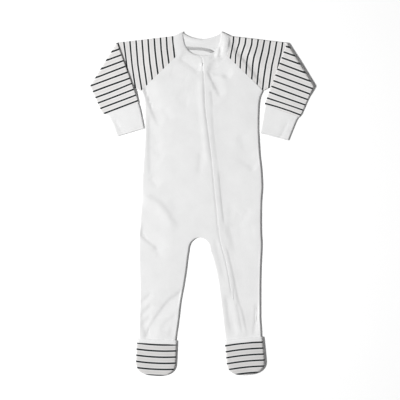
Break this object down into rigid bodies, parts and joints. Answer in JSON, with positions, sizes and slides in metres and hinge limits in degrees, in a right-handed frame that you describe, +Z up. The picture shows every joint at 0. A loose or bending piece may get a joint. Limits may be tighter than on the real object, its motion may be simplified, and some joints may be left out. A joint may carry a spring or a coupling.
{
  "type": "footed baby sleepsuit",
  "caption": "Footed baby sleepsuit laid flat, with striped raglan sleeves folded over at the elbow, a covered zip from neck to ankle and striped pull-over feet.",
  "frame": {"origin": "centre of the garment's outline as it lies flat, on the surface it lies on", "axes": "+X across the garment towards the leg with the end of the zip, +Y from the feet to the neck, +Z up from the surface through the back to the front"},
  "size_m": [0.4146, 0.6398, 0.0104],
  "materials": {
    "white_knit": "matt cotton knit",
    "white_rib": "matt cotton rib",
    "striped_knit": "matt cotton knit, charcoal stripes on white",
    "zip_tape": "matt woven tape",
    "zip_plastic": "satin white"
  },
  "bodies": {
    "root": {"back": "white_knit", "front_main": "white_knit", "front_side": "white_knit", "zip_flap": "white_knit", "zip_tape": "zip_tape", "zip_slider": "zip_plastic", "neckband": "white_rib", "sleeve_left": "striped_knit", "sleeve_right": "striped_knit", "cuff_left": "white_rib", "cuff_right": "white_rib", "foot_cover_left": "striped_knit", "foot_cover_right": "striped_knit", "foot_sole_left": "striped_knit", "foot_sole_right": "striped_knit", "foot_binding_left": "white_rib", "foot_binding_right": "white_rib"}
  },
  "joints": []
}
